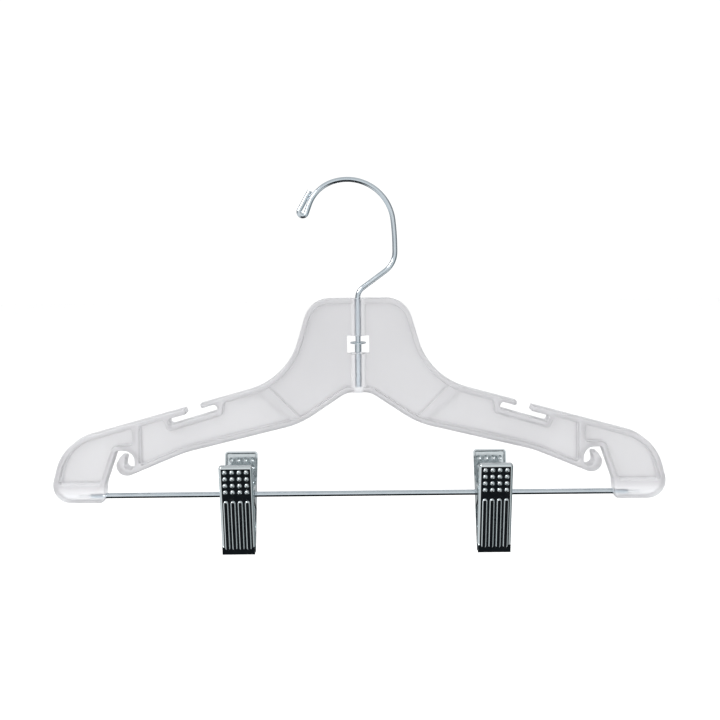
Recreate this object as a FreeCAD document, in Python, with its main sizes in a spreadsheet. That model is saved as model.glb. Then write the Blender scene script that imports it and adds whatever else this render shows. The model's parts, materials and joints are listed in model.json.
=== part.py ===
import FreeCAD, Part
import math
import os

import Sketcher

# A child's clear moulded clothes hanger with a swivel wire hook, a trouser bar and two pinch clips.
#
# Frame, in millimetres: +X along the trouser bar, away from the hook's tip; +Y from the hanger's front
# to its back; +Z up. The origin is on the hook's swivel axis, level with the inside of the hook's crown,
# and "drop" means the distance below it.

X_AXIS = FreeCAD.Vector(1, 0, 0)
Z_AXIS = FreeCAD.Vector(0, 0, 1)
SAME_LENGTH = 1e-4
LEAST_VOLUME = 1e-3

# Driving sizes, each a cell of the spreadsheet under the name given here.
SIZES = {
    # hanger body
    "rim_depth": 8.0,
    "rim_round": 0.9,
    "web_thickness": 2.4,
    "web_corner_round": 0.7,
    "neck_web_thickness": 3.6,
    "cross_rib_depth": 6.0,
    "boss_radius": 4.65,
    "boss_bore_radius": 1.58,
    "boss_bore_drop": 119.6,
    "window_width": 12.9,
    "window_top_drop": 89.6,
    "window_bottom_drop": 100.1,
    "bar_drop": 182.0,
    "socket_radius": 1.52,
    "socket_end": 156.4,
    "pilot_radius": 0.8,
    "pilot_end": 163.0,
    # wire hook, from the blind end of its shank up to its folded tip
    "wire_radius": 1.5,
    "shank_end_drop": 119.4,
    "shank_length": 51.4,
    "lower_bend_radius": 7.5,
    "lower_bend_turn": 53.85,
    "slope_length": 16.4,
    "knee_radius": 13.8,
    "back_length": 2.15,
    "back_radius": 145.0,
    "back_turn": 6.5,
    "crown_radius": 27.0,
    "crown_turn": 101.2,
    "nose_radius": 21.6,
    "nose_turn": 53.0,
    "nose_length": 5.2,
    "fold_radius": 2.2,
    "fold_turn": 189.6,
    "tip_length": 13.0,
    "crimp_radius": 1.95,
    "crimp_top_drop": 94.3,
    "crimp_bottom_drop": 99.7,
    "crimp_chamfer": 0.4,
    # push-on washer that keeps the hook in the window
    "washer_radius": 4.6,
    "washer_bore_radius": 1.52,
    "washer_thickness": 0.5,
    # trouser bar
    "bar_radius": 1.5,
    "bar_half_length": 156.2,
    "bar_end_chamfer": 0.3,
    # pinch clips
    "left_clip_x": -70.5,
    "right_clip_x": 78.0,
    "sheet_thickness": 0.8,
    "jaw_splay": 11.3,
    "jaw_reach": 8.54,
    "jaw_half_width": 9.75,
    "front_jaw_top": 22.1,
    "back_jaw_top": 23.6,
    "jaw_bottom": -33.4,
    "tray_depth": 2.2,
    "tray_bottom": -28.5,
    "tray_corner_round": 1.9,
    "bend_round": 1.7,
    "lip_half_width": 9.5,
    "ear_nesting": 0.9,
    "back_ear_root": 1.8,
    "front_ear_root": 0.4,
    "ear_root_half": 9.0,
    "ear_shoulder_depth": 5.4,
    "ear_shoulder_half": 8.6,
    "ear_shoulder_round": 1.6,
    "ear_nose_reach": 3.0,
    "ear_nose_half": 3.6,
    "ear_nose_round": 2.8,
    "pivot_hole_radius": 1.58,
    "grip_columns": 4,
    "grip_rows": 4,
    "grip_column_pitch": 4.15,
    "grip_row_pitch": 4.11,
    "grip_first_row": 6.2,
    "dome_radius": 1.3,
    "dome_height": 0.8,
    "dome_foot_latitude": 15.0,
    "dimple_radius": 1.45,
    "dimple_depth": 0.9,
    "ridge_half_width": 1.42,
    "ridge_end_round": 1.419,
    "ridge_height": 0.7,
    "ridge_top": 0.75,
    "ridge_bottom": -30.25,
    "groove_half_width": 0.9,
    "groove_end_round": 0.899,
    "groove_depth": 0.7,
    "groove_top": 0.2,
    "groove_bottom": -29.7,
    "pressed_edge": 0.03,
    "pad_half_width": 8.0,
    "pad_height": 6.0,
    "pad_thickness": 1.09,
    "pad_rise": 0.3,
    # torsion springs
    "spring_wire_radius": 0.5,
    "spring_coil_radius": 2.5,
    "spring_pitch": 1.15,
    "spring_whole_turns": 6.0,
    "spring_leg_length": 15.5,
    "spring_leg_angle": 29.0,
}

# Corners of the body's outlines: name, x, drop and the radius that rounds the corner.
# They are those of the right half, which is mirrored to make the left half.
BODY_OUTLINE = [
    ("neck_top_middle", 0, 68.0, 0),
    ("shoulder", 28.0, 68.0, 15.5),
    ("shoulder_foot", 41.9, 115.0, 41.0),
    ("end_top", 171.95, 150.3, 26.5),
    ("end_bottom", 180.4, 185.1, 10.5),
    ("end_heel", 148.0, 185.1, 2.2),
    ("end_throat", 147.6, 174.5, 3.0),
    ("gap_top", 141.0, 155.1, 1.7),
    ("loop_roof", 130.3, 155.1, 6.2),
    ("loop_floor_inner", 130.3, 165.9, 2.8),
    ("loop_floor_outer", 136.5, 165.9, 2.8),
    ("loop_tip_inner", 135.2, 158.2, 1.0),
    ("loop_tip_outer", 138.6, 158.4, 1.5),
    ("loop_side", 140.8, 162.3, 3.0),
    ("loop_outer", 140.7, 169.4, 6.0),
    ("loop_heel", 133.0, 169.4, 6.0),
    ("underarm_end", 101.0, 156.3, 60.0),
    ("underarm_start", 33.8, 140.3, 50.0),
    ("neck_corner", 6.8, 122.4, 12.0),
    ("neck_bottom_middle", 0, 122.4, 0),
]
STRAP_NOTCH = [
    ("notch_left_floor", 81.6, 132.5, 2.0),
    ("notch_left_roof", 82.8, 128.4, 2.0),
    ("notch_lip_left", 91.4, 130.95, 1.1),
    ("notch_mouth_left", 92.4, 126.0, 0),
    ("notch_mouth_right", 102.4, 128.0, 0),
    ("notch_lip_right", 99.8, 134.1, 0.9),
    ("notch_right_roof", 110.6, 137.0, 1.8),
    ("notch_right_floor", 109.4, 140.6, 1.8),
]
ARM_RECESS = [
    ("arm_recess_neck", -1.0, 70.9, 0),
    ("arm_recess_shoulder", 25.8, 70.9, 12.7),
    ("arm_recess_foot", 39.55, 117.2, 43.8),
    ("arm_recess_notch_start", 78.4, 127.8, 1.6),
    ("arm_recess_notch_left", 79.4, 135.2, 2.4),
    ("arm_recess_notch_right", 110.6, 144.2, 2.4),
    ("arm_recess_notch_end", 113.6, 137.3, 1.6),
    ("arm_recess_end_top", 127.5, 141.1, 1.2),
    ("arm_recess_end_bottom", 127.5, 164.1, 1.8),
    ("arm_recess_underarm", 101.5, 153.4, 60.0),
    ("arm_recess_underarm_start", 34.6, 137.5, 47.0),
    ("arm_recess_neck_corner", 7.8, 119.5, 4.0),
    ("arm_recess_neck_bottom", -1.0, 119.5, 0),
]
END_RECESS = [
    ("end_recess_start", 131.6, 142.2, 1.2),
    ("end_recess_top", 168.9, 152.4, 23.6),
    ("end_recess_outer", 174.4, 174.4, 1.6),
    ("end_recess_inner", 150.7, 174.4, 1.6),
    ("end_recess_gap", 143.2, 152.3, 4.6),
    ("end_recess_loop", 131.6, 152.3, 1.2),
]
CROSS_RIB = [
    ("rib_top_inner", 53.3, 118.3, 0),
    ("rib_top_outer", 60.4, 121.0, 0),
    ("rib_bottom_outer", 38.3, 139.4, 0),
    ("rib_bottom_inner", 33.6, 137.3, 0),
]
NECK_WEB = [
    ("neck_web_top", -1.0, 69.5, 0),
    ("neck_web_shoulder", 27.0, 69.5, 13.0),
    ("neck_web_side", 34.2, 93.8, 0),
    ("neck_web_bend", 40.8, 106.9, 0),
    ("neck_web_foot", 51.6, 117.0, 0),
    ("neck_web_rib_top", 56.5, 119.9, 0),
    ("neck_web_rib_bottom", 36.2, 138.9, 0),
    ("neck_web_corner", 7.4, 121.0, 0),
    ("neck_web_bottom", -1.0, 121.0, 0),
]
# Pivot ear of the front jaw: distance behind the bar's axis, height above it and rounding of each corner.
# Its root, inside the face plate or the side wall, is added to these.
EAR = [
    ("-ear_shoulder_depth", "ear_shoulder_half", "ear_shoulder_round"),
    ("ear_nose_reach", "ear_nose_half", "ear_nose_round"),
    ("ear_nose_reach", "-ear_nose_half", "ear_nose_round"),
    ("-ear_shoulder_depth", "-ear_shoulder_half", "ear_shoulder_round"),
]
# The hook's centre line, upwards from the blind end of its shank: straight runs and tangent arcs,
# each arc with the side that it turns to.
LEFT = 1
RIGHT = -1
HOOK_PATH = [
    ("shank_length",),
    ("lower_bend_radius", "lower_bend_turn", RIGHT),
    ("slope_length",),
    ("knee_radius", "lower_bend_turn", LEFT),
    ("back_length",),
    ("back_radius", "back_turn", LEFT),
    ("crown_radius", "crown_turn", LEFT),
    ("nose_radius", "nose_turn", LEFT),
    ("nose_length",),
    ("fold_radius", "fold_turn", RIGHT),
    ("tip_length",),
]
FRONT = -1
BACK = 1

document = FreeCAD.newDocument("clothes_hanger")
sheet = document.addObject("Spreadsheet::Sheet", "sheet")
probe = document.addObject("App::FeaturePython", "probe")
probe.addProperty("App::PropertyFloat", "value")


def add_cell(alias, value):
    """Put one plain number in the sheet's next free cell, under its alias."""
    add_cell.row += 1
    cell = f"A{add_cell.row}"
    sheet.set(cell, str(value))
    sheet.setAlias(cell, alias)


add_cell.row = 0


def fill_sheet():
    for alias, value in SIZES.items():
        add_cell(alias, value)
    for outline in (BODY_OUTLINE, STRAP_NOTCH, ARM_RECESS, END_RECESS, CROSS_RIB, NECK_WEB):
        for name, x, drop, radius in outline:
            add_cell(f"{name}_x", x)
            add_cell(f"{name}_drop", drop)
            add_cell(f"{name}_round", radius)
    document.recompute()


def bound(expression):
    """The expression with every alias written as the sheet's."""
    words = []
    for word in expression.replace("(", "( ").replace(")", " )").split():
        sign = "-" if word.startswith("-") and len(word) > 1 and word[1].isalpha() else ""
        name = word[len(sign):]
        words.append(f"{sign}sheet.{name}" if name[:1].isalpha() else word)
    return " ".join(words)


def number(expression):
    """What an expression of aliases comes to now."""
    probe.setExpression("value", bound(expression))
    probe.recompute()
    return probe.value


def drop_corners(outline):
    """An outline's corners as (x, z, radius) expressions."""
    return [(f"{name}_x", f"-{name}_drop", f"{name}_round") for name, *_ in outline]


def plane_of(body, role):
    return next(f for f in body.Origin.OriginFeatures if f.Role == role)


def new_body(label):
    body = document.addObject("PartDesign::Body", label)
    body.Label = label
    return body


def new_sketch(body, name, role, offset=None):
    """A sketch on one of the body's own origin planes, moved along its normal by offset."""
    sketch = body.newObject("Sketcher::SketchObject", name)
    sketch.AttachmentSupport = [(plane_of(body, role), "")]
    sketch.MapMode = "FlatFace"
    if offset:
        sketch.setExpression("AttachmentOffset.Base.z", bound(offset))
    return sketch


def constrain(sketch, constraint, expression=None):
    index = sketch.addConstraint(constraint)
    if expression:
        sketch.setExpression(f"Constraints[{index}]", bound(expression))


def place_point(sketch, geometry, position, x, z):
    """Tie a point to the sketch's origin by two distances, each bound to the sheet."""
    for kind, axis, expression in (("DistanceX", -2, x), ("DistanceY", -1, z)):
        value = number(expression)
        if abs(value) < SAME_LENGTH:
            constrain(sketch, Sketcher.Constraint("PointOnObject", geometry, position, axis))
        elif value > 0:
            constraint = Sketcher.Constraint(kind, -1, 1, geometry, position, value)
            constrain(sketch, constraint, expression)
        else:
            constraint = Sketcher.Constraint(kind, geometry, position, -1, 1, -value)
            constrain(sketch, constraint, f"0 - ( {expression} )")


def rounded_corner(before, corner, after, radius):
    """Where the arc that rounds a corner starts and ends, and its centre."""
    back = (before - corner).normalize()
    ahead = (after - corner).normalize()
    half_opening = back.getAngle(ahead) / 2
    start = corner + back * (radius / math.tan(half_opening))
    end = corner + ahead * (radius / math.tan(half_opening))
    centre = corner + (back + ahead).normalize() * (radius / math.sin(half_opening))
    return start, end, centre


def arc_through(start, end, centre, radius):
    """The short arc from start to end as a sketch arc, and whether it runs anticlockwise."""
    anticlockwise = (start - centre).cross(end - centre).z > 0
    first, last = (start, end) if anticlockwise else (end, start)
    angles = [math.atan2(p.y - centre.y, p.x - centre.x) for p in (first, last)]
    if angles[1] < angles[0]:
        angles[1] += 2 * math.pi
    return Part.ArcOfCircle(Part.Circle(centre, Z_AXIS, radius), *angles), anticlockwise


def draw_loop(sketch, corners):
    """Draw a closed loop of straight sides with rounded corners, every corner bound to the sheet."""
    points = [FreeCAD.Vector(number(x), number(z), 0) for x, z, _ in corners]
    radii = [number(radius) for *_, radius in corners]
    count = len(corners)
    ends = []
    for i, point in enumerate(points):
        if radii[i] > 0:
            ends.append(rounded_corner(points[i - 1], point, points[(i + 1) % count], radii[i]))
        else:
            ends.append((point, point, point))
    sides = []
    for i in range(count):
        following = (i + 1) % count
        start, end = ends[i][1], ends[following][0]
        if (end - start).dot(points[following] - points[i]) <= 0:
            raise RuntimeError(f"{sketch.Label}: the roundings of {corners[i]} and the next corner overlap")
        sides.append(sketch.addGeometry(Part.LineSegment(start, end), False))
    for i, (x, z, radius) in enumerate(corners):
        side_in, side_out = sides[i - 1], sides[i]
        if radii[i] <= 0:
            constrain(sketch, Sketcher.Constraint("Coincident", side_in, 2, side_out, 1))
            place_point(sketch, side_out, 1, x, z)
            continue
        start, end, centre = ends[i]
        arc, anticlockwise = arc_through(start, end, centre, radii[i])
        curve = sketch.addGeometry(arc, False)
        arc_first, arc_last = (1, 2) if anticlockwise else (2, 1)
        vertex = sketch.addGeometry(Part.Point(points[i]), True)
        constrain(sketch, Sketcher.Constraint("Tangent", side_in, 2, curve, arc_first))
        constrain(sketch, Sketcher.Constraint("Tangent", curve, arc_last, side_out, 1))
        constrain(sketch, Sketcher.Constraint("PointOnObject", vertex, 1, side_in))
        constrain(sketch, Sketcher.Constraint("PointOnObject", vertex, 1, side_out))
        constrain(sketch, Sketcher.Constraint("Radius", curve, radii[i]), radius)
        place_point(sketch, vertex, 1, x, z)


def draw_circle(sketch, x, z, radius):
    centre = FreeCAD.Vector(number(x), number(z), 0)
    circle = sketch.addGeometry(Part.Circle(centre, Z_AXIS, number(radius)), False)
    constrain(sketch, Sketcher.Constraint("Radius", circle, number(radius)), radius)
    place_point(sketch, circle, 3, x, z)


def draw_path(sketch, start_z, steps):
    """Draw a chain of straight runs and tangent arcs that starts upwards from (0, start_z)."""
    here = FreeCAD.Vector(0, number(start_z), 0)
    heading = math.pi / 2
    previous = None
    for step in steps:
        ahead = FreeCAD.Vector(math.cos(heading), math.sin(heading), 0)
        if len(step) == 1:
            length = number(step[0])
            there = here + ahead * length
            curve = sketch.addGeometry(Part.LineSegment(here, there), False)
            constrain(sketch, Sketcher.Constraint("Distance", curve, length), step[0])
            first, last = 1, 2
        else:
            radius_name, turn_name, side = step
            radius, turn = number(radius_name), math.radians(number(turn_name))
            aside = FreeCAD.Vector(-ahead.y, ahead.x, 0) * side
            centre = here + aside * radius
            start_angle = math.atan2(-aside.y, -aside.x)
            end_angle = start_angle + side * turn
            there = centre + FreeCAD.Vector(math.cos(end_angle), math.sin(end_angle), 0) * radius
            angles = sorted((start_angle, end_angle))
            arc = Part.ArcOfCircle(Part.Circle(centre, Z_AXIS, radius), *angles)
            curve = sketch.addGeometry(arc, False)
            constrain(sketch, Sketcher.Constraint("Radius", curve, radius), radius_name)
            constrain(sketch, Sketcher.Constraint("Angle", curve, turn), f"{turn_name} * 1deg")
            first, last = (1, 2) if side == LEFT else (2, 1)
            heading += side * turn
        if previous:
            constrain(sketch, Sketcher.Constraint("Tangent", *previous, curve, first))
        else:
            place_point(sketch, curve, first, "0", start_z)
            constrain(sketch, Sketcher.Constraint("Vertical", curve))
        previous = (curve, last)
        here = there


def extrude(body, kind, name, sketch, length, midplane=False, reverse=False):
    """A Pad or Pocket of the sketch, whose length is bound to the sheet."""
    feature = body.newObject(f"PartDesign::{kind}", name)
    feature.Profile = sketch
    feature.setExpression("Length", bound(length))
    feature.Midplane = midplane
    feature.Reversed = reverse
    sketch.Visibility = False
    return feature


def measured(body, feature, grows):
    """Recompute, and stop if a feature that adds or removes material didn't."""
    before = measured.volumes.get(body.Name, 0.0)
    document.recompute()
    after = feature.Shape.Volume
    change = after - before if grows else before - after
    if change < LEAST_VOLUME:
        raise RuntimeError(f"{body.Label}: {feature.Label} changed nothing")
    measured.volumes[body.Name] = after
    return feature


measured.volumes = {}


def pad(body, name, sketch, length, midplane=False, reverse=False):
    return measured(body, extrude(body, "Pad", name, sketch, length, midplane, reverse), True)


def pocket(body, name, sketch, length, midplane=False, reverse=False):
    return measured(body, extrude(body, "Pocket", name, sketch, length, midplane, reverse), False)


def loop_sketch(body, name, role, corners, offset=None):
    sketch = new_sketch(body, name, role, offset)
    draw_loop(sketch, corners)
    return sketch


def circle_sketch(body, name, role, x, z, radius, offset=None):
    sketch = new_sketch(body, name, role, offset)
    draw_circle(sketch, x, z, radius)
    return sketch


def dress(body, kind, name, size, chosen):
    """Fillet or Chamfer the tip's edges for which chosen(edge) holds."""
    base = body.Tip
    edges = [f"Edge{i}" for i, edge in enumerate(base.Shape.Edges, start=1) if chosen(edge)]
    feature = body.newObject(f"PartDesign::{kind}", name)
    feature.Base = (base, edges)
    feature.setExpression("Radius" if kind == "Fillet" else "Size", bound(size))
    document.recompute()
    measured.volumes[body.Name] = feature.Shape.Volume
    return feature


def mirror_to_left(body, name, originals):
    mirror = body.newObject("PartDesign::Mirrored", name)
    mirror.Originals = originals
    mirror.MirrorPlane = (plane_of(body, "YZ_Plane"), [""])
    body.Tip = mirror
    measured(body, mirror, True)


def has_radius(edge, radius):
    return isinstance(edge.Curve, Part.Circle) and abs(edge.Curve.Radius - radius) < SAME_LENGTH


def across(item, axis, value):
    """True if an edge or face lies in the plane where that axis ("X", "Y" or "Z") has that value."""
    box = item.BoundBox
    lowest, highest = getattr(box, f"{axis}Min"), getattr(box, f"{axis}Max")
    return abs(lowest - value) < SAME_LENGTH and abs(highest - value) < SAME_LENGTH


def rectangle(left, right, bottom, top):
    return [(left, bottom, "0"), (right, bottom, "0"), (right, top, "0"), (left, top, "0")]


def make_hanger_body():
    """The clear moulding: rims round a thin web, a thicker neck, hook boss, bar sockets, notches, loops."""
    body = new_body("hanger_body")
    outline = loop_sketch(body, "body_outline", "XZ_Plane", drop_corners(BODY_OUTLINE))
    halves = [pad(body, "rims", outline, "rim_depth", midplane=True)]
    for name, corners in (("arm_recess", ARM_RECESS), ("end_recess", END_RECESS)):
        sketch = loop_sketch(body, f"{name}_outline", "XZ_Plane", drop_corners(corners))
        halves.append(pocket(body, name, sketch, "2 * rim_depth", midplane=True))
    halves.append(pad(body, "web", outline, "web_thickness", midplane=True))
    notch = loop_sketch(body, "notch_outline", "XZ_Plane", drop_corners(STRAP_NOTCH))
    halves.append(pocket(body, "strap_notch", notch, "2 * rim_depth", midplane=True))

    mirror_to_left(body, "left_half", halves)
    for name, depth, round_size in (
        ("rim_rounds", "rim_depth / 2", "rim_round"),
        ("web_corners", "web_thickness / 2", "web_corner_round"),
    ):
        y = number(depth)
        dress(body, "Fillet", name, round_size, lambda edge: across(edge, "Y", y) or across(edge, "Y", -y))

    neck = loop_sketch(body, "neck_outline", "XZ_Plane", drop_corners(NECK_WEB))
    rib = loop_sketch(body, "cross_rib_outline", "XZ_Plane", drop_corners(CROSS_RIB))
    ribs = [
        pad(body, "neck_web", neck, "neck_web_thickness", midplane=True),
        pad(body, "cross_rib", rib, "cross_rib_depth", midplane=True),
    ]
    mirror_to_left(body, "left_ribs", ribs)

    top = "-neck_top_middle_drop"
    boss = circle_sketch(body, "boss_circle", "XY_Plane", "0", "0", "boss_radius", top)
    pad(body, "boss", boss, "neck_bottom_middle_drop - neck_top_middle_drop", reverse=True)
    window = rectangle("-window_width / 2", "window_width / 2", "-window_bottom_drop", "-window_top_drop")
    opening = loop_sketch(body, "window_outline", "XZ_Plane", window)
    pocket(body, "window", opening, "2 * rim_depth", midplane=True)
    bore = circle_sketch(body, "bore_circle", "XY_Plane", "0", "0", "boss_bore_radius", top)
    pocket(body, "hook_bore", bore, "boss_bore_drop - neck_top_middle_drop")
    for name in ("socket", "pilot"):
        hole = circle_sketch(body, f"{name}_circle", "YZ_Plane", "0", "-bar_drop", f"{name}_radius")
        pocket(body, name, hole, f"2 * {name}_end", midplane=True)
    return body


def make_hook():
    """The bent wire hook, with the crimped part of its shank that holds the washer."""
    body = new_body("hook")
    path = new_sketch(body, "hook_path", "XZ_Plane")
    draw_path(path, "-shank_end_drop", HOOK_PATH)
    section = circle_sketch(body, "wire_section", "XY_Plane", "0", "0", "wire_radius", "-shank_end_drop")
    document.recompute()
    wire = body.newObject("PartDesign::AdditivePipe", "bent_wire")
    wire.Profile = section
    wire.Spine = (path, [f"Edge{i + 1}" for i in range(len(HOOK_PATH))])
    measured(body, wire, True)
    crimp = circle_sketch(body, "crimp_circle", "XY_Plane", "0", "0", "crimp_radius", "-crimp_bottom_drop")
    pad(body, "crimp", crimp, "crimp_bottom_drop - crimp_top_drop")
    radius = number("crimp_radius")
    dress(body, "Chamfer", "crimp_ends", "crimp_chamfer", lambda edge: has_radius(edge, radius))
    return body


def make_washer():
    body = new_body("hook_washer")
    disc = new_sketch(body, "washer_rings", "XY_Plane", "-crimp_top_drop")
    draw_circle(disc, "0", "0", "washer_radius")
    draw_circle(disc, "0", "0", "washer_bore_radius")
    pad(body, "disc", disc, "washer_thickness")
    return body


def make_bar():
    body = new_body("trouser_bar")
    section = circle_sketch(body, "bar_section", "YZ_Plane", "0", "-bar_drop", "bar_radius")
    pad(body, "rod", section, "2 * bar_half_length", midplane=True)
    radius = number("bar_radius")
    dress(body, "Chamfer", "bar_ends", "bar_end_chamfer", lambda edge: has_radius(edge, radius))
    return body


def on_clip(body, clip_x, side=None):
    """Move a body drawn about the bar's axis to its place on the bar, leaning a side's jaw by the splay."""
    if side:
        lean = FreeCAD.Rotation(X_AXIS, -side * number("jaw_splay"))
        body.Placement = FreeCAD.Placement(FreeCAD.Vector(), lean)
    body.setExpression("Placement.Base.x", bound(clip_x))
    body.setExpression("Placement.Base.z", bound("-bar_drop"))


def long_slot(x, name):
    """A long round-ended ridge or groove as four rounded corners."""
    left, right = f"{x} - {name}_half_width", f"{x} + {name}_half_width"
    bottom, top = f"{name}_bottom", f"{name}_top"
    corners = ((left, bottom), (right, bottom), (right, top), (left, top))
    return [(x_at, z_at, f"{name}_end_round") for x_at, z_at in corners]


def make_tray(body, side):
    """The pressed tray of a jaw: a block with rounded outer edges, hollowed from inside and at its foot."""
    face_y = side * number("jaw_reach")
    inner_y = side * number("jaw_reach - tray_depth")
    half_width = number("jaw_half_width")
    jaw_top = "front_jaw_top" if side == FRONT else "back_jaw_top"
    top, foot = number(jaw_top), number("tray_bottom")
    block = rectangle("-jaw_half_width", "jaw_half_width", "tray_bottom", jaw_top)
    outline = loop_sketch(body, "tray_outline", "XZ_Plane", block, f"{-side} * jaw_reach")
    pad(body, "tray_block", outline, "tray_depth", reverse=side == FRONT)

    def is_corner(edge):
        return across(edge, "Z", top) and any(across(edge, "X", x) for x in (half_width, -half_width))

    def is_bend(edge):
        return across(edge, "Y", face_y) and not across(edge, "Z", foot)

    dress(body, "Fillet", "tray_corners", "tray_corner_round", is_corner)
    dress(body, "Fillet", "bends", "bend_round", is_bend)
    base = body.Tip
    faces = enumerate(base.Shape.Faces, start=1)
    opened = [f"Face{i}" for i, face in faces if across(face, "Y", inner_y) or across(face, "Z", foot)]
    hollow = body.newObject("PartDesign::Thickness", "hollow")
    hollow.Base = (base, opened)
    hollow.setExpression("Value", bound("sheet_thickness"))
    hollow.Reversed = True
    measured(body, hollow, False)


def repeat_on_grip(body, name, feature, adds):
    """The feature at every row and column of the grip."""
    pattern = body.newObject("PartDesign::MultiTransform", name)
    pattern.Originals = [feature]
    steps = []
    for word, axis in (("column", "X_Axis"), ("row", "Z_Axis")):
        step = document.addObject("PartDesign::LinearPattern", f"{pattern.Name}_{word}s")
        step.Direction = (plane_of(body, axis), [""])
        step.setExpression("Length", bound(f"( grip_{word}s - 1 ) * grip_{word}_pitch"))
        step.setExpression("Occurrences", bound(f"grip_{word}s"))
        steps.append(step)
    pattern.Transformations = steps
    body.Tip = pattern
    measured(body, pattern, adds)


def press_domes(body, side):
    """Rows and columns of domes pressed out of a jaw's handle.

    Each is the cap of a ball, with the cap of another ball taken out of the sheet behind it.
    """
    for kind, name, face, height in (
        ("Additive", "dome", "jaw_reach", "dome_height"),
        ("Subtractive", "dimple", "jaw_reach - sheet_thickness", "dimple_depth"),
    ):
        adds = kind == "Additive"
        ball_radius = f"( {name}_radius ^ 2 + {height} ^ 2 ) / ( 2 * {height} )"
        centre = f"{face} + {height} - {ball_radius}"
        ball = body.newObject(f"PartDesign::{kind}Sphere", name)
        ball.AttachmentSupport = [(plane_of(body, "XZ_Plane"), "")]
        ball.MapMode = "FlatFace"
        facing = FreeCAD.Rotation(X_AXIS, 0 if side == FRONT else 180)
        ball.AttachmentOffset = FreeCAD.Placement(FreeCAD.Vector(), facing)
        ball.setExpression("AttachmentOffset.Base.x", bound("( 1 - grip_columns ) * grip_column_pitch / 2"))
        ball.setExpression("AttachmentOffset.Base.y", bound("grip_first_row"))
        ball.setExpression("AttachmentOffset.Base.z", bound(f"{-side} * ( {centre} )"))
        ball.setExpression("Radius", bound(ball_radius))
        if adds:
            ball.setExpression("Angle1", bound("dome_foot_latitude"))
        repeat_on_grip(body, f"{name}_grid", measured(body, ball, adds), adds)


def make_jaw(label, clip_x, side):
    """A pressed sheet jaw, about the bar's axis: tray, flat lip below it, pivot ears, domes and ridges.

    The back jaw's ears lie against its side walls and the front jaw's nest inside them.
    """
    body = new_body(label)
    face = f"{-side} * jaw_reach"
    inner_face = f"{-side} * ( jaw_reach - sheet_thickness )"
    make_tray(body, side)
    lip = rectangle("-lip_half_width", "lip_half_width", "jaw_bottom", "tray_bottom")
    lip_outline = loop_sketch(body, "lip_outline", "XZ_Plane", lip, face)
    pad(body, "lip", lip_outline, "sheet_thickness", reverse=side == FRONT)

    root, inset = ("front_ear_root", "ear_nesting") if side == FRONT else ("back_ear_root", "0")
    depth = f"{root} - jaw_reach"
    corners = [(depth, "ear_root_half", "0"), *EAR, (depth, "-ear_root_half", "0")]
    flipped = [(f"{-side} * ( {depth} )", height, radius) for depth, height, radius in corners]
    ear = loop_sketch(body, "ear_outline", "YZ_Plane", flipped, f"jaw_half_width - {inset}")
    mirror_to_left(body, "left_ear", [pad(body, "ear", ear, "sheet_thickness", reverse=True)])
    hole = circle_sketch(body, "pivot_circle", "YZ_Plane", "0", "0", "pivot_hole_radius")
    pocket(body, "pivot_holes", hole, "4 * jaw_half_width", midplane=True)

    ridge_slots = new_sketch(body, "ridge_slots", "XZ_Plane", face)
    groove_slots = new_sketch(body, "groove_slots", "XZ_Plane", inner_face)
    columns = int(number("grip_columns"))
    for column in range(columns):
        x = f"{column - (columns - 1) / 2} * grip_column_pitch"
        draw_loop(ridge_slots, long_slot(x, "ridge"))
        draw_loop(groove_slots, long_slot(x, "groove"))
    pad(body, "ridges", ridge_slots, "ridge_height", reverse=side == BACK)
    pocket(body, "grooves", groove_slots, "groove_depth", reverse=side == FRONT)
    ridge_top = side * number("jaw_reach + ridge_height")

    def is_crest(edge):
        return across(edge, "Y", ridge_top)

    dress(body, "Fillet", "ridge_rounds", "ridge_height - pressed_edge", is_crest)
    press_domes(body, side)
    on_clip(body, clip_x, side)
    return body


def make_pad(label, clip_x, side):
    """The soft strip inside the end of a jaw, which touches the other jaw's strip."""
    body = new_body(label)
    corners = rectangle(
        "-pad_half_width", "pad_half_width", "jaw_bottom + pad_rise", "jaw_bottom + pad_rise + pad_height"
    )
    inner_face = f"{-side} * ( jaw_reach - sheet_thickness )"
    strip = loop_sketch(body, "strip_outline", "XZ_Plane", corners, inner_face)
    pad(body, "strip", strip, "pad_thickness", reverse=side == FRONT)
    on_clip(body, clip_x, side)
    return body


def make_spring(label, clip_x):
    """A torsion spring round the bar, whose two legs press the upper halves of the jaws apart."""
    body = new_body(label)
    turns = "( spring_whole_turns + 0.5 - spring_leg_angle / 180 )"
    half_length = f"{turns} * spring_pitch / 2"
    leg_angle = number("spring_leg_angle")

    start = new_sketch(body, "wire_section", "XY_Plane")
    start.AttachmentOffset = FreeCAD.Placement(FreeCAD.Vector(), FreeCAD.Rotation(X_AXIS, leg_angle))
    draw_circle(start, f"0 - {half_length}", "-spring_coil_radius", "spring_wire_radius")
    document.recompute()
    coil = body.newObject("PartDesign::AdditiveHelix", "coil")
    coil.Profile = start
    coil.ReferenceAxis = (plane_of(body, "X_Axis"), [""])
    coil.Mode = "pitch-turns-angle"
    coil.setExpression("Pitch", bound("spring_pitch"))
    coil.setExpression("Turns", bound(turns))
    measured(body, coil, True)

    lean = math.radians(leg_angle)
    coil_radius = number("spring_coil_radius")
    drop = coil_radius * math.sin(lean)
    for name, side in (("front_leg", FRONT), ("back_leg", BACK)):
        leg = body.newObject("PartDesign::AdditiveCylinder", name)
        leg.AttachmentSupport = [(plane_of(body, "XY_Plane"), "")]
        leg.MapMode = "FlatFace"
        foot = FreeCAD.Vector(side * number(half_length), side * coil_radius * math.cos(lean), -drop)
        leg.AttachmentOffset = FreeCAD.Placement(foot, FreeCAD.Rotation(X_AXIS, -side * leg_angle))
        leg.setExpression("Radius", bound("spring_wire_radius"))
        leg.setExpression("Height", bound("spring_leg_length"))
        measured(body, leg, True)
    on_clip(body, clip_x)
    return body


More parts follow.
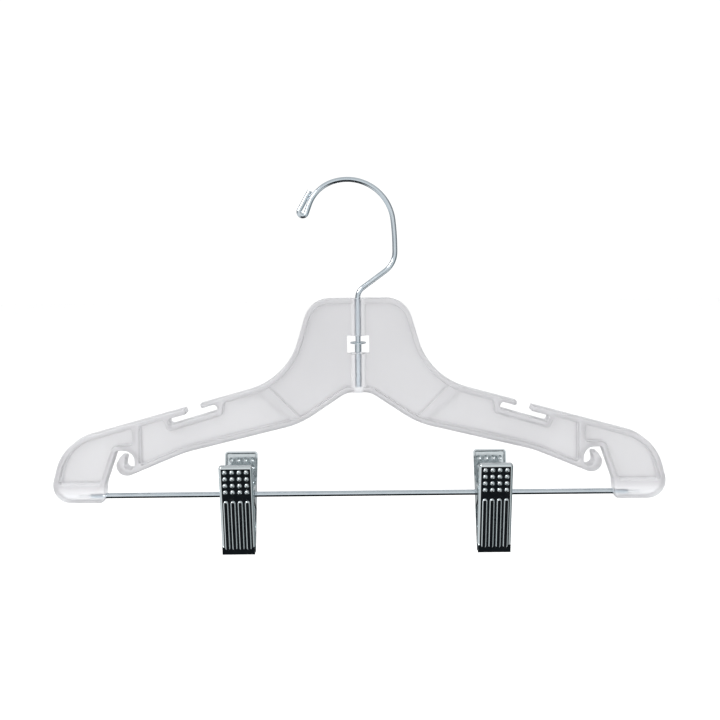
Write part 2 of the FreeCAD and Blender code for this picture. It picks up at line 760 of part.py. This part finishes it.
def main():
    fill_sheet()
    bodies = [make_hanger_body(), make_hook(), make_washer(), make_bar()]
    for side_name in ("left", "right"):
        clip_x = f"{side_name}_clip_x"
        bodies.append(make_jaw(f"{side_name}_clip_back_jaw", clip_x, BACK))
        bodies.append(make_jaw(f"{side_name}_clip_front_jaw", clip_x, FRONT))
        bodies.append(make_pad(f"{side_name}_clip_back_pad", clip_x, BACK))
        bodies.append(make_pad(f"{side_name}_clip_front_pad", clip_x, FRONT))
        bodies.append(make_spring(f"{side_name}_clip_spring", clip_x))
    document.recompute()
    os.makedirs("parts", exist_ok=True)
    for item in document.Objects:
        if {"Invalid", "Error"} & set(item.State):
            raise RuntimeError(f"{item.Label} failed: {item.State}")
    for body in bodies:
        shape = body.Shape
        if shape.isNull() or not shape.isValid():
            raise RuntimeError(f"{body.Label} has no valid shape")
        print(f"{body.Label}: {shape.Volume:.1f} mm3, {len(shape.Solids)} solid, box {shape.BoundBox}")
        shape.exportStep(f"parts/{body.Label}.step")


main()
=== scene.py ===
import json
import math

import bmesh
import bpy
from mathutils import Matrix, Vector


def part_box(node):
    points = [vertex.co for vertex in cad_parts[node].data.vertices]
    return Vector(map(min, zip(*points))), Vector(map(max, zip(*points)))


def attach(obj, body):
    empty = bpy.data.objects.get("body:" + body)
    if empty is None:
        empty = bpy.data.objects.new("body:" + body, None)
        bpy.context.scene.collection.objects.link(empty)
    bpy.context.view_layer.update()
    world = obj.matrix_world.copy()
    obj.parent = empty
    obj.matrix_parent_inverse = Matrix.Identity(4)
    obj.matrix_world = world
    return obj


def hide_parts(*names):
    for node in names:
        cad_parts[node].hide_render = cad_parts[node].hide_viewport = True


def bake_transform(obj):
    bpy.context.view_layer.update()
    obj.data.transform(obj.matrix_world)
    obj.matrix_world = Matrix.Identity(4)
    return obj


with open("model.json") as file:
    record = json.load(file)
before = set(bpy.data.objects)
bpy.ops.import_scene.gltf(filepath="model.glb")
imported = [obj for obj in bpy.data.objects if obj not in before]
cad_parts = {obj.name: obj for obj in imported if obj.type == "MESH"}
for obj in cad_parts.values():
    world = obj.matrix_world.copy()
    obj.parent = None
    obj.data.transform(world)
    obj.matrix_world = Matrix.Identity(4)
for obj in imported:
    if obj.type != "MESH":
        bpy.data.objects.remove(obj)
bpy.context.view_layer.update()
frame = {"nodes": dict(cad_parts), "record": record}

nodes = frame["nodes"]
scene = bpy.context.scene
BAR_Z = sum(corner.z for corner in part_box("trouser_bar")) / 2
JAW_LEAN = math.radians(11.3)  # of each jaw from the upright
JAW_INNER_FACE = 0.00774  # from the bar's axis, square to the jaw
FRONT, BACK = -1, 1
CLIPS = ("left_clip", "right_clip")
MIDDLE = Vector((0, 0, -0.1))  # of the whole object, roughly


# --- node materials --------------------------------------------------------------------------------------

class Nodes:
    """Short ways to add nodes to a node tree."""

    def __init__(self, tree):
        self.tree = tree

    def node(self, kind, links=(), **settings):
        """A new node; each link is a socket's name or number and either a value or another node's output."""
        made = self.tree.nodes.new(kind)
        for key, value in settings.items():
            setattr(made, key, value)
        for socket, source in links:
            self.join(made.inputs[socket], source)
        return made

    def join(self, socket, source):
        """Link another node's output to a socket, or set the socket's value."""
        if isinstance(source, bpy.types.NodeSocket):
            self.tree.links.new(source, socket)
        else:
            socket.default_value = source

    def maths(self, operation, first, second=0.0):
        return self.node("ShaderNodeMath", [(0, first), (1, second)], operation=operation).outputs[0]

    def remap(self, source, low, high, to_low, to_high, smooth=False):
        """Take the range from low to high to the one from to_low to to_high, and stop at its ends."""
        links = [("Value", source), ("From Min", low), ("From Max", high)]
        links += [("To Min", to_low), ("To Max", to_high)]
        kind = "SMOOTHSTEP" if smooth else "LINEAR"
        return self.node("ShaderNodeMapRange", links, interpolation_type=kind).outputs["Result"]

    def mix(self, factor, first, second):
        """The first colour where the factor is 0, the second where it is 1."""
        made = self.node("ShaderNodeMix", data_type="RGBA")
        for identifier, source in (("Factor_Float", factor), ("A_Color", first), ("B_Color", second)):
            self.join(next(s for s in made.inputs if s.identifier == identifier), source)
        return next(s for s in made.outputs if s.identifier == "Result_Color")


class Material(Nodes):
    """A Principled material whose inputs are fed from procedural nodes in the object's own frame."""

    def __init__(self, name, **values):
        self.material = bpy.data.materials.new(name)
        self.material.use_nodes = True
        super().__init__(self.material.node_tree)
        self.shader = self.tree.nodes["Principled BSDF"]
        self.place = self.node("ShaderNodeTexCoord").outputs["Object"]
        for socket, value in values.items():
            self.feed(socket.replace("_", " "), value)

    def noise(self, scale, detail=3.0, stretch=(1, 1, 1)):
        """A noise that a stretch under 1 draws out along that axis."""
        place = self.node("ShaderNodeMapping", [("Vector", self.place), ("Scale", stretch)]).outputs[0]
        links = [("Vector", place), ("Scale", scale), ("Detail", detail)]
        return self.node("ShaderNodeTexNoise", links).outputs[0]

    def feed(self, socket, source):
        self.join(self.shader.inputs[socket], source)

    def bump(self, height, strength, distance):
        links = [("Height", height), ("Strength", strength), ("Distance", distance)]
        self.feed("Normal", self.node("ShaderNodeBump", links).outputs["Normal"])


def clear_plastic():
    """Clear moulded plastic: hazy and grey with faint clouds. Round the wires and in front of them it is
    painted lighter and clearer. This is a painted highlight for the light that the plastic focuses onto the
    wires.
    """
    light_cloud, dark_cloud = (0.73, 0.73, 0.742, 1), (0.695, 0.695, 0.708, 1)
    # painted highlight: lighter plastic colours round the wires and in front of them, for the light focused
    # onto the wires
    painted_light_round_wire, painted_light_before_wire = (0.84, 0.84, 0.85, 1), (0.95, 0.965, 0.975, 1)
    m = Material("clear_plastic", IOR=1.3)
    cloud = m.mix(m.remap(m.noise(16, 2), 0.35, 0.65, 0, 1), light_cloud, dark_cloud)
    x, _, z = m.node("ShaderNodeSeparateXYZ", [(0, m.place)]).outputs
    from_bar = m.maths("ABSOLUTE", m.maths("SUBTRACT", z, BAR_Z))
    from_wire = m.maths("MINIMUM", m.maths("ABSOLUTE", x), from_bar)
    # painted highlight mask: 0 near the wires, where the plastic is painted lighter and clearer, and 1 away
    # from them
    outside_painted_light = m.remap(from_wire, 0.002, 0.0045, 0, 1, smooth=True)
    painted_light_core = m.remap(from_wire, 0.0014, 0.0024, 1, 0, smooth=True)
    m.feed("Base Color", m.mix(outside_painted_light, m.mix(painted_light_core, painted_light_round_wire, painted_light_before_wire), cloud))
    # more transmission near the wires, as part of the same painted highlight
    m.feed("Transmission Weight", m.remap(outside_painted_light, 0, 1, 0.96, 0.7))
    # Denoising leaves a thin line wherever the roughness crosses 0.27, so it stays above that.
    m.feed("Roughness", m.remap(m.noise(60, 4), 0.3, 0.75, 0.28, 0.36))
    m.bump(m.noise(30, 1), 0.03, 0.0006)
    absorb = m.node("ShaderNodeVolumeAbsorption", [("Color", (0.1, 0.08, 0.15, 1)), ("Density", 26.0)])
    m.join(m.tree.nodes["Material Output"].inputs["Volume"], absorb.outputs[0])
    return m.material


def plated_wire():
    """Bright zinc on drawn wire: bluish, with fine streaks."""
    m = Material("plated_wire", Metallic=1.0)
    m.feed("Base Color", m.mix(m.noise(160), (0.62, 0.69, 0.75, 1), (0.76, 0.81, 0.84, 1)))
    m.feed("Roughness", m.remap(m.noise(420), 0.3, 0.7, 0.12, 0.22))
    m.bump(m.noise(900), 0.10, 0.0001)
    return m.material


def plated_sheet():
    """Bright nickel on pressed steel sheet, with a rolled grain down the jaw."""
    m = Material("plated_sheet", Metallic=1.0)
    m.feed("Base Color", m.mix(m.noise(130), (0.68, 0.73, 0.745, 1), (0.78, 0.815, 0.825, 1)))
    m.feed("Roughness", m.remap(m.noise(300, 4), 0.3, 0.7, 0.07, 0.17))
    m.bump(m.noise(2600, 2, stretch=(1, 0.1, 0.04)), 0.06, 0.00005)
    return m.material


def spring_steel():
    """Oiled spring wire: darker and duller than the plating, with drawing streaks."""
    m = Material("spring_steel", Metallic=1.0)
    m.feed("Base Color", m.mix(m.noise(300), (0.50, 0.51, 0.53, 1), (0.68, 0.69, 0.71, 1)))
    m.feed("Roughness", m.remap(m.noise(800), 0.3, 0.7, 0.22, 0.4))
    m.bump(m.noise(2500, 2), 0.15, 0.00005)
    return m.material


def grip_vinyl():
    """Black soft vinyl, matt and a little grained."""
    m = Material("grip_vinyl")
    m.feed("Base Color", m.mix(m.noise(500), (0.018, 0.018, 0.02, 1), (0.045, 0.045, 0.048, 1)))
    m.feed("Roughness", m.remap(m.noise(900), 0.3, 0.7, 0.5, 0.75))
    m.bump(m.noise(3000, 4), 0.4, 0.0001)
    return m.material


def backdrop():
    """Pale matt paper."""
    m = Material("backdrop", Roughness=0.9)
    m.feed("Base Color", m.mix(m.noise(3), (0.93, 0.93, 0.93, 1), (0.95, 0.95, 0.95, 1)))
    return m.material


MATERIALS = {
    "clear_plastic": clear_plastic(),
    "plated_wire": plated_wire(),
    "plated_sheet": plated_sheet(),
    "spring_steel": spring_steel(),
    "grip_pad": grip_vinyl(),
}
for subpart in frame["record"]["subparts"]:
    mesh = nodes[subpart["node"]].data
    mesh.materials.clear()
    mesh.materials.append(MATERIALS[subpart["material_slot"]])


# --- pieces made here ------------------------------------------------------------------------------------

def new_piece(name, mesh, slot, replaced):
    """A piece that stands for a CAD node and takes its finish from the slot."""
    piece = bpy.data.objects.new(name, mesh)
    scene.collection.objects.link(piece)
    mesh.materials.append(MATERIALS[slot])
    mesh.shade_smooth()
    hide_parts(replaced)
    return piece


def skin(name, rings):
    """A closed mesh over rings of as many points each, with a face at either end."""
    shape = bmesh.new()
    corners = [[shape.verts.new(point) for point in ring] for ring in rings]
    for lower, upper in zip(corners, corners[1:]):
        for k in range(len(lower)):
            n = (k + 1) % len(lower)
            shape.faces.new((lower[k], lower[n], upper[n], upper[k]))
    shape.faces.new(corners[0][::-1])
    shape.faces.new(corners[-1])
    bmesh.ops.recalc_face_normals(shape, faces=shape.faces)
    mesh = bpy.data.meshes.new(name)
    shape.to_mesh(mesh)
    shape.free()
    return mesh


def wire_rings(points, radius, sides=14):
    """Circles round a bent wire, which shrink to domes past its two ends."""
    last = len(points) - 1
    ways = [(points[min(i + 1, last)] - points[max(i - 1, 0)]).normalized() for i in range(last + 1)]
    across = ways[0].orthogonal().normalized()
    stations = []
    for point, way in zip(points, ways):
        across = (across - way * across.dot(way)).normalized()
        stations.append((point, way, across, radius))
    domes = []
    for (point, way, side, _), outward in ((stations[0], -1), (stations[-1], 1)):
        dome = []
        for degrees in (30, 60, 80):
            latitude = math.radians(degrees)
            past_end = way * outward * radius * math.sin(latitude)
            dome.append((point + past_end, way, side, radius * math.cos(latitude)))
        domes.append(dome)
    rings = []
    for point, way, side, reach in domes[0][::-1] + stations + domes[1]:
        other = way.cross(side)
        turns = [2 * math.pi * k / sides for k in range(sides)]
        rings.append([point + (side * math.cos(t) + other * math.sin(t)) * reach for t in turns])
    return rings


def torsion_spring(clip):
    """The clip's spring: a coil round the bar, whose two legs press the upper halves of the jaws apart."""
    node = f"{clip}_spring"
    low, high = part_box(node)
    wire, coil, leg = 0.0005, 0.0025, 0.0155  # two radii and a length
    rise = math.radians(29)  # of each leg from the upright
    whole_turns, steps_a_turn, leg_steps = 6, 32, 8
    middle, half_length = (low.x + high.x) / 2, (high.x - low.x) / 2 - wire
    sweep = (2 * whole_turns + 1) * math.pi - 2 * rise
    steps = round(sweep / (2 * math.pi) * steps_a_turn)

    def on_coil(share):
        turn = rise + share * sweep
        x = middle + half_length * (2 * share - 1)
        return Vector((x, -coil * math.cos(turn), BAR_Z - coil * math.sin(turn)))

    points = [on_coil(i / steps) for i in range(steps + 1)]
    front_way = Vector((0, -math.sin(rise), math.cos(rise)))
    back_way = Vector((0, math.sin(rise), math.cos(rise)))
    front_leg = [points[0] + front_way * leg * i / leg_steps for i in range(leg_steps, 0, -1)]
    back_leg = [points[-1] + back_way * leg * i / leg_steps for i in range(1, leg_steps + 1)]
    mesh = skin(f"{clip}_coil", wire_rings(front_leg + points + back_leg, wire))
    piece = new_piece(f"{clip}_coil", mesh, "spring_steel", node)
    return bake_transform(piece)


def grip_strip(clip, side_name, side):
    """The ribbed soft strip inside a jaw's lower end, with its ribs across the jaw and its ends rounded."""
    node = f"{clip}_{side_name}_pad"
    low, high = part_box(node)
    half_width, middle = (high.x - low.x) / 2, (high.x + low.x) / 2
    bottom, top = -0.0331, -0.0271  # along the jaw, from the bar's axis
    thickness, rib_depth, rounded = 0.00109, 0.0004, 0.0004
    ribs, rib_sharpness, steps_a_rib = 5, 1.5, 10
    end_shares = ((1, 0.7), (0.99, 0.86), (0.96, 0.97), (0.9, 1))  # of the half width and of the section
    lean = Matrix.Rotation(-side * JAW_LEAN, 3, "X")
    section = []
    for i in range(ribs * steps_a_rib + 1):
        share = i / (ribs * steps_a_rib)
        edge = min(share, 1 - share) * (top - bottom)
        dip = rib_depth * abs(math.cos(share * ribs * math.pi)) ** rib_sharpness
        if edge < rounded:
            dip = max(dip, rounded - math.sqrt(rounded ** 2 - (rounded - edge) ** 2))
        section.append((JAW_INNER_FACE - thickness + dip, bottom + share * (top - bottom)))
    section += [(JAW_INNER_FACE, top), (JAW_INNER_FACE, bottom)]
    centre_z = (bottom + top) / 2
    left_end = [(-reach, share) for reach, share in end_shares]
    right_end = list(end_shares[::-1])
    rings = []
    for reach, share in left_end + right_end:
        height_share = 0.9 + 0.1 * share
        ring = []
        for y, z in section:
            y_at = JAW_INNER_FACE + (y - JAW_INNER_FACE) * share
            z_at = centre_z + (z - centre_z) * height_share
            place = lean @ Vector((0, side * y_at, z_at))
            ring.append(Vector((middle + reach * half_width, place.y, BAR_Z + place.z)))
        rings.append(ring)
    mesh = skin(f"{clip}_{side_name}_grip", rings)
    piece = new_piece(f"{clip}_{side_name}_grip", mesh, "grip_pad", node)
    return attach(piece, f"{clip}_{side_name}")


for clip in CLIPS:
    torsion_spring(clip)
    grip_strip(clip, "front", FRONT)
    grip_strip(clip, "back", BACK)


# --- room, light and camera ------------------------------------------------------------------------------

def floor(height, reach):
    """A square of paper that metal doesn't mirror."""
    mesh = bpy.data.meshes.new("floor")
    corners = [(x * reach, y * reach, height) for x, y in ((-1, -1), (1, -1), (1, 1), (-1, 1))]
    mesh.from_pydata(corners, [], [(0, 1, 2, 3)])
    mesh.materials.append(backdrop())
    made = bpy.data.objects.new("floor", mesh)
    scene.collection.objects.link(made)
    made.visible_glossy = False


def area_light(name, place, size, power, mirrored=True):
    """A rectangular light that faces the object's middle."""
    light = bpy.data.lights.new(name, "AREA")
    light.shape = "RECTANGLE"
    light.size, light.size_y = size
    light.energy = power
    lamp = bpy.data.objects.new(name, light)
    scene.collection.objects.link(lamp)
    lamp.visible_glossy = mirrored
    lamp.location = place
    lamp.rotation_euler = (MIDDLE - Vector(place)).to_track_quat("-Z", "Y").to_euler()


def studio_world():
    """A white room. What metal mirrors is another: grey walls, a duller ceiling and a dark table below."""
    white_room, dark_table = (1.08, 1.08, 1.08, 1), (0.008, 0.010, 0.012, 1)
    front_wall, back_wall, ceiling = (0.82, 0.84, 0.85, 1), (0.50, 0.52, 0.53, 1), (0.60, 0.62, 0.63, 1)
    side_wall, low_left, low_right = (0.27, 0.28, 0.29, 1), (0.74, 0.78, 0.80, 1), (0.16, 0.20, 0.21, 1)
    world = bpy.data.worlds.new("studio")
    scene.world = world
    world.use_nodes = True
    made = Nodes(world.node_tree)
    way = made.node("ShaderNodeTexCoord").outputs["Generated"]
    across, along, up = made.node("ShaderNodeSeparateXYZ", [(0, way)]).outputs
    aside = made.maths("ABSOLUTE", across)

    low_side = made.mix(made.remap(across, -0.2, 0.2, 0, 1), low_left, low_right)
    side = made.mix(made.remap(up, -0.35, 0, 1, 0), side_wall, low_side)
    wall = made.mix(made.remap(along, -0.2, 0.4, 0, 1), front_wall, back_wall)
    ahead = made.mix(made.remap(up, 0.35, 0.8, 0, 1), wall, ceiling)
    walls = made.mix(made.remap(aside, 0.5, 0.9, 0, 1, smooth=True), ahead, side)
    below = made.remap(up, -0.5, -0.25, 1, 0, smooth=True)
    central = made.remap(aside, 0.3, 0.55, 1, 0, smooth=True)
    mirrored = made.mix(made.maths("MULTIPLY", below, central), walls, dark_table)

    path = made.node("ShaderNodeLightPath").outputs
    not_through = made.maths("SUBTRACT", 1.0, path["Is Transmission Ray"])
    in_metal = made.maths("MULTIPLY", path["Is Glossy Ray"], not_through)
    colour = made.mix(in_metal, white_room, mirrored)
    made.join(world.node_tree.nodes["Background"].inputs["Color"], colour)


floor(height=-0.36, reach=3.0)
studio_world()
area_light("overhead", place=(0, 0, 1.1), size=(1.4, 1.4), power=6, mirrored=False)
area_light("key", place=(-1.0, -0.7, 0.55), size=(0.5, 0.5), power=7)
scene.view_settings.view_transform = "Standard"

camera_data = bpy.data.cameras.new("camera")
camera_data.sensor_width = 36.0
camera_data.lens = 37.67
camera_data.shift_y = -0.1836
camera = bpy.data.objects.new("camera", camera_data)
scene.collection.objects.link(camera)
camera.location = (0.00175, -0.440, -0.027)
camera.rotation_euler = (math.pi / 2, math.radians(0.55), 0)  # level, with a slight roll
scene.camera = camera
